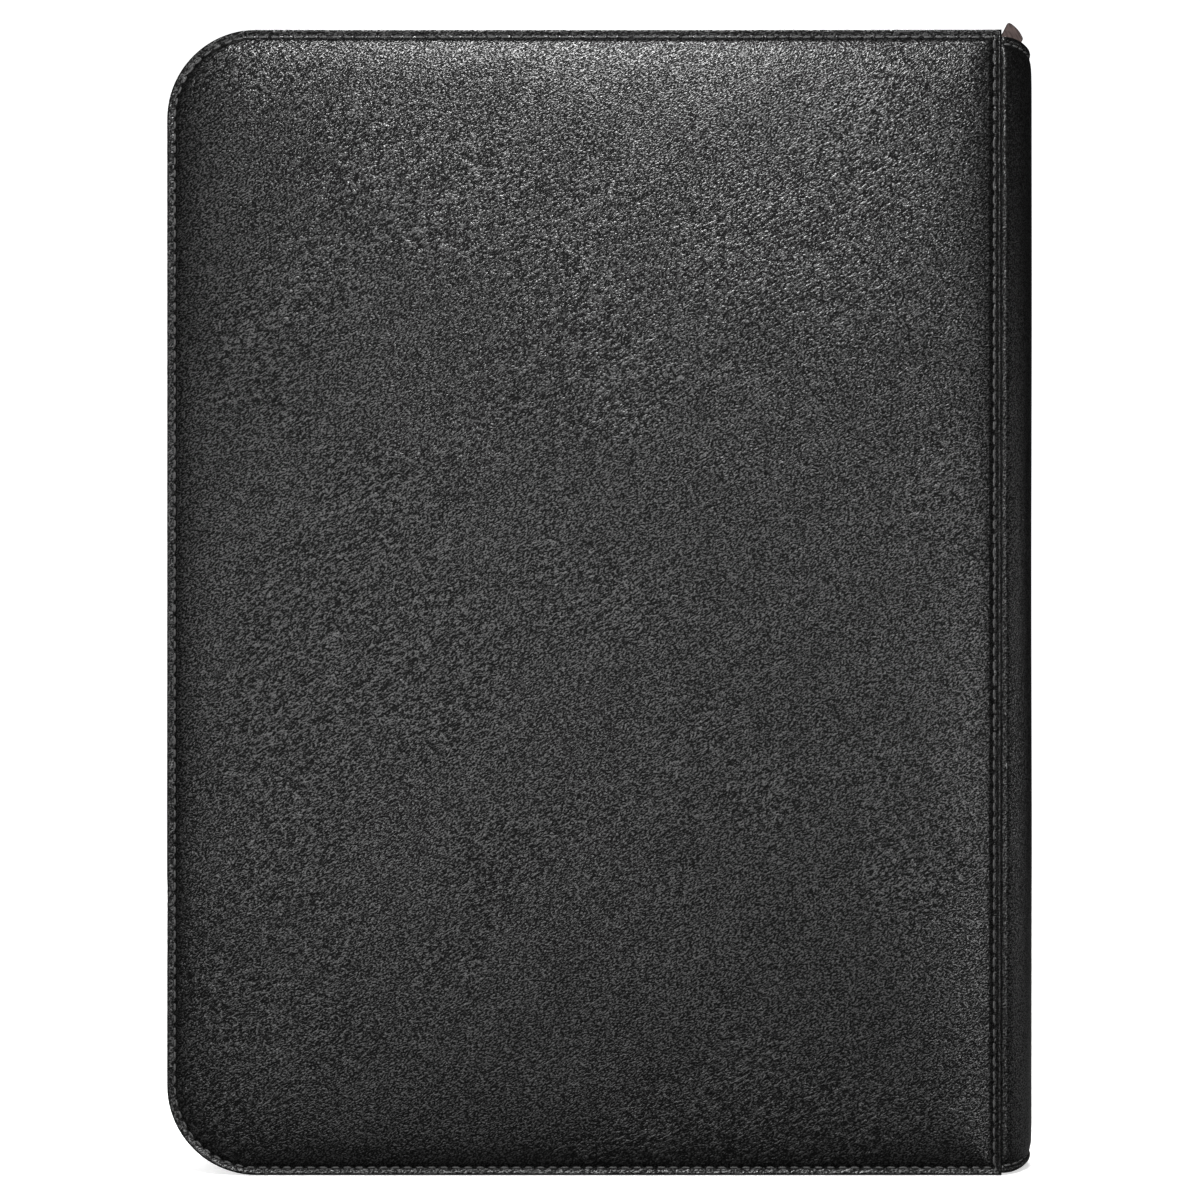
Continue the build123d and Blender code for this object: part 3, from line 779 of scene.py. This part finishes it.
# Half of the section where both leaves gather into the tongue: (x, half width)
FOLD_SECTION = [(109.0, 0.81), (109.8, 0.8), (110.5, 0.62), (111.2, 0.3), (112.0, 0.15),
                (114.1, 0.15)]
FILM_LIFT = 0.24
FILM_GAP, FILM_THICKNESS = 0.05, 0.06
POCKETS = 3
POCKET_ORIGIN = (-109.0, 34.0)
POCKET_PITCH = (70.0, 94.0)
POCKET_SIZE = (66.5, 90.5)


def pocket_axis(origin, pitch, length):
    """Sample places along one direction of the pocket grid, how far the film lifts at each, and
    how many there are to a pocket."""
    gap = (pitch - length) / 2
    places = [(0.0, 0.0), (gap - 0.5, 0.0), (gap, 0.25), (gap + 1.5, 0.62), (gap + 5, 0.9),
              (pitch * 0.35, 1.0), (pitch * 0.65, 1.0), (pitch - gap - 5, 0.9),
              (pitch - gap - 1.5, 0.62), (pitch - gap, 0.25), (pitch - gap + 0.5, 0.0)]
    at = [origin + k * pitch + place for k in range(POCKETS) for place, _ in places]
    lift = [amount for _ in range(POCKETS) for _, amount in places]
    return np.array(at + [origin + POCKETS * pitch]), np.array(lift + [0.0]), len(places)


def pair_pockets(name, y_middle, seed):
    """Clear film welded to both faces of both leaves, open along one side of every pocket."""
    (xs, lift_x, per), (zs, lift_z, _) = (
        pocket_axis(*measures) for measures in zip(POCKET_ORIGIN, POCKET_PITCH, POCKET_SIZE))
    columns, rows = len(xs), len(zs)
    corners = []
    for j in range(rows - 1):
        for i in range(columns - 1):
            slit = i % per == per - 2 and 2 <= j % per <= per - 3
            if not slit:
                corners.append(j * columns + i)
    cells = [(a, a + 1, a + columns + 1, a + columns) for a in corners]
    edges = {edge: True for cell in cells for edge in zip(cell, cell[1:] + cell[:1])}
    border = [(p, q) for p, q in edges if (q, p) not in edges]

    random = np.random.default_rng(seed)
    verts, faces = [], []
    for leaf, outward in ((-1, -1), (-1, 1), (1, -1), (1, 1)):
        base = y_middle + leaf * LEAF_OFFSET + outward * SHEET_HALF
        wave = random.uniform(0.75, 1.0, (rows, columns))
        height = FILM_GAP + FILM_LIFT * lift_z[:, None] * lift_x[None, :] * wave
        bottom = len(verts)
        for skin in (-FILM_THICKNESS / 2, FILM_THICKNESS / 2):
            start = len(verts)
            for j in range(rows):
                for i in range(columns):
                    verts.append((xs[i], base + outward * (height[j, i] + skin), zs[j]))
            faces += [tuple(start + k for k in cell) for cell in cells]
        faces += [(bottom + p, bottom + q, start + q, start + p) for p, q in border]
    return make_object(name, verts, faces, FILM)


def pair_sheets(name, y_middle, seed):
    """One folded page sheet: tongue, fold and two leaves with rounded free corners."""
    random = np.random.default_rng(seed)
    reach = random.uniform(-0.5, 0.3, 2)
    verts, faces = [], []
    z_low, z_high = SHEET_HEIGHT
    for k, leaf in enumerate((-1, 1)):
        faces += sheet_faces(len(SHEET_STATIONS), SHEET_ROWS, len(verts))
        length = SHEET_SPAN[1] - SHEET_SPAN[0] + reach[k]
        y = y_middle + leaf * LEAF_OFFSET
        for half in (-SHEET_HALF, SHEET_HALF):
            for s in SHEET_STATIONS:
                s = min(s, length)
                x = SHEET_SPAN[1] - length + s
                cut = max(SHEET_CORNER - s, 0)
                corner = SHEET_CORNER - math.sqrt(max(SHEET_CORNER**2 - cut**2, 0))
                for z in np.linspace(z_low + corner, z_high - corner, SHEET_ROWS):
                    verts.append((x, y + half, z))
    ring = [(x, y_middle + w) for x, w in FOLD_SECTION]
    ring += [(x, y_middle - w) for x, w in reversed(FOLD_SECTION)]
    faces += tube_faces(SHEET_ROWS, len(ring), len(verts))
    verts += [(x, y, z) for z in np.linspace(z_low, z_high, SHEET_ROWS) for x, y in ring]
    return make_object(name, verts, faces, SHEET, smooth=False)


# --- Put the binder together ---------------------------------------------------------
# Curves of the soft strips where a cover meets the spine, as (x, y) pairs in millimetres
GUTTER = [(113.0, 14.25), (117.0, 14.25), (120.3, 14.35), (122.1, 15.1), (123.3, 15.35),
          (124.6, 14.2), (125.6, 13.1)]
GROOVE = [(120.9, 18.3), (121.7, 18.25), (122.3, 18.1), (123.0, 17.7)]
LEAF_PAIRS = 10


def place(obj, body, slot, *nodes):
    """Ride a piece on a body; it stands in for the CAD nodes named."""
    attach(obj, body)
    if nodes:
        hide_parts(*nodes)


def bend(obj):
    """Bake a soft piece's placement into its mesh; it rides on no body."""
    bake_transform(obj)


for cover, side, phase in (("back", -1, 0.0), ("front", 1, 2.4)):
    body = cover + "_cover"
    shell = cover_shell(cover + "_leather", side, phase)
    place(shell, body, "leatherette", cover + "_skin", cover + "_foam_pad", cover + "_board")
    place(cover_stitches(cover + "_stitches", side), body, "thread", cover + "_stitching")
    place(cover_lining(cover + "_inner_lining", side), body, "lining", cover + "_lining")
    tape = zip_tape(cover + "_tape", side)
    bend(tape)
    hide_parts(cover + "_zip_tape")
    coil = zip_coil(cover + "_coil", side)
    bend(coil)
    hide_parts(cover + "_zip_coil")
    hinge = strip(cover + "_hinge_lining", GUTTER, 22, side, 5.0, HEIGHT - 6.5, 0.35, LINING)
    bend(hinge)
    fold = strip(cover + "_seam_fold", GROOVE, 10, side, 2.2, HEIGHT - 2.6, 0.5, LEATHER)
    bend(fold)

place(spine_shell(), "spine", "leatherette", "spine_skin", "spine_stiffener")
place(spine_stitches(), "spine", "thread", "spine_stitching")
place(spine_inner_lining(), "spine", "lining", "spine_lining")
place(zip_end("zip_end_top", CHAIN_TOP), "spine", "zip_tape", "zip_end_tape_top", "zip_end_coils")
place(zip_end("zip_end_bottom", CHAIN_INSET), "spine", "zip_tape", "zip_end_tape_bottom")

for k in range(1, LEAF_PAIRS + 1):
    body = f"leaf_pair_{k:02d}"
    low, high = node_box(body + "_sheets")
    middle = (low[1] + high[1]) / 2
    place(pair_sheets(body + "_page", middle, k), body, "page_sheet", body + "_sheets")
    place(pair_pockets(body + "_film", middle, 100 + k), body, "page_film", body + "_pockets")

for node, material in (("binding_strip", BINDING), ("zip_stops", SLIDER_METAL),
                       ("slider_body", SLIDER_METAL), ("slider_cap", SLIDER_METAL),
                       ("pull_ring", PULL_METAL), ("pull_tab", PULL_METAL)):
    mesh = NODES[node].data
    mesh.materials.clear()
    mesh.materials.append(material)


# --- Stage, light and camera ---------------------------------------------------------
FLOOR_RADIUS, WALL_CURVE, WALL_TOP = 1500, 600, 2600
CAMERA_DISTANCE = 900.0
PIXELS_PER_MM = 3.28        # at the cover's face, in a frame 1200 pixels wide
SENSOR_WIDTH = 36.0

# Lights as (name, place, aim, size, power), in millimetres and watts. The covers are nearly
# flat mirrors under their grain, so those in front are aimed by where the cover reflects them.
LIGHTS = [
    ("top_light", (-10, -640, 750), (-10, 0, 300), (180, 150), 8.2),
    ("front_light", (-50, -640, 135), (-20, 0, 150), (240, 420), 0.95),
    ("right_light", (425, -700, 70), (110, -20, 130), (80, 150), 1.65),
    ("left_light", (-270, -660, 100), (-108, -20, 140), (110, 180), 0.7),
    ("far_top_light", (-10, 420, 800), (-10, 0, 200), (400, 300), 8.0),
    ("far_front_light", (-300, 900, 300), (0, 0, 160), (500, 500), 8.0),
    ("spine_side_light", (950, 60, 110), (125, 0, 150), (150, 240), 0.6),
    ("fore_side_light", (-950, 120, 330), (-120, 0, 160), (300, 500), 2.5),
]


def backdrop():
    """A pale round floor that sweeps up into a wall. It throws little light back at the object. To
    the camera it glows white, a painted glow that is weaker near the object so that the floor
    there can still show the object's shadow.
    """
    n = Nodes("stage")
    tone = n.mix_colour(n.noise(0.01, 2.0), grey(0.88), grey(0.92))
    seen = n.new("ShaderNodeLightPath").outputs["Is Camera Ray"]
    away = n.vector_math("LENGTH", n.mm, (0, 0, 0), "Value")
    # Painted glow: the backdrop shines white for camera rays only, from 0.6 near the object up to
    # 1.0 from 800 mm off.
    glow = n.math("MULTIPLY", seen, n.ramp(away, 200, 800, 0.6, 1.0))
    material = n.finish(n.mix_colour(seen, grey(0.1), tone), 0.9, Specular_IOR_Level=0.1,
                        Emission_Color=grey(1.0), Emission_Strength=glow)
    profile = [(1e-3, 0), (600, 0), (FLOOR_RADIUS, 0)]
    profile += [(FLOOR_RADIUS + WALL_CURVE * math.sin(a), WALL_CURVE - WALL_CURVE * math.cos(a))
                for a in np.linspace(0.1, math.pi / 2, 12)]
    profile += [(FLOOR_RADIUS + WALL_CURVE, WALL_TOP)]
    around = np.linspace(0, 2 * math.pi, 73)[:-1]
    verts = [(r * math.cos(a), r * math.sin(a), z) for r, z in profile for a in around]
    make_object("backdrop", verts, band_faces(len(profile), len(around)), material)


def area_light(name, place_mm, target_mm, size_mm, power):
    light = bpy.data.lights.new(name, "AREA")
    light.shape = "ELLIPSE"
    light.size, light.size_y = size_mm[0] * MM, size_mm[1] * MM
    light.energy = power
    obj = bpy.data.objects.new(name, light)
    bpy.context.scene.collection.objects.link(obj)
    obj.location = Vector(place_mm) * MM
    aim = (Vector(target_mm) - Vector(place_mm)).normalized()
    obj.rotation_mode = "QUATERNION"
    obj.rotation_quaternion = aim.to_track_quat("-Z", "Y")


def studio_world():
    """White behind the set, and a dim even glow for everything else."""
    world = bpy.data.worlds.new("studio")
    world.use_nodes = True
    tree = world.node_tree
    light_path = tree.nodes.new("ShaderNodeLightPath")
    strength = tree.nodes.new("ShaderNodeMapRange")
    strength.inputs["To Min"].default_value = 0.1
    strength.inputs["To Max"].default_value = 1.0
    tree.links.new(light_path.outputs["Is Camera Ray"], strength.inputs["Value"])
    tree.links.new(strength.outputs["Result"], tree.nodes["Background"].inputs["Strength"])
    tree.nodes["Background"].inputs["Color"].default_value = (1, 1, 1, 1)
    return world


def studio_camera():
    """A straight view of the back cover."""
    data = bpy.data.cameras.new("camera")
    data.sensor_width = SENSOR_WIDTH
    data.lens = PIXELS_PER_MM * CAMERA_DISTANCE / 1200 * SENSOR_WIDTH
    camera = bpy.data.objects.new("camera", data)
    bpy.context.scene.collection.objects.link(camera)
    camera.location = Vector((-0.9, -HALF - CAMERA_DISTANCE, HEIGHT / 2 + 0.7)) * MM
    camera.rotation_euler = (math.pi / 2, 0, 0)
    return camera


backdrop()
for light in LIGHTS:
    area_light(*light)
bpy.context.scene.world = studio_world()
bpy.context.scene.view_settings.view_transform = "Standard"
bpy.context.scene.cycles.max_bounces = 6
bpy.context.scene.cycles.diffuse_bounces = 2
bpy.context.scene.camera = studio_camera()
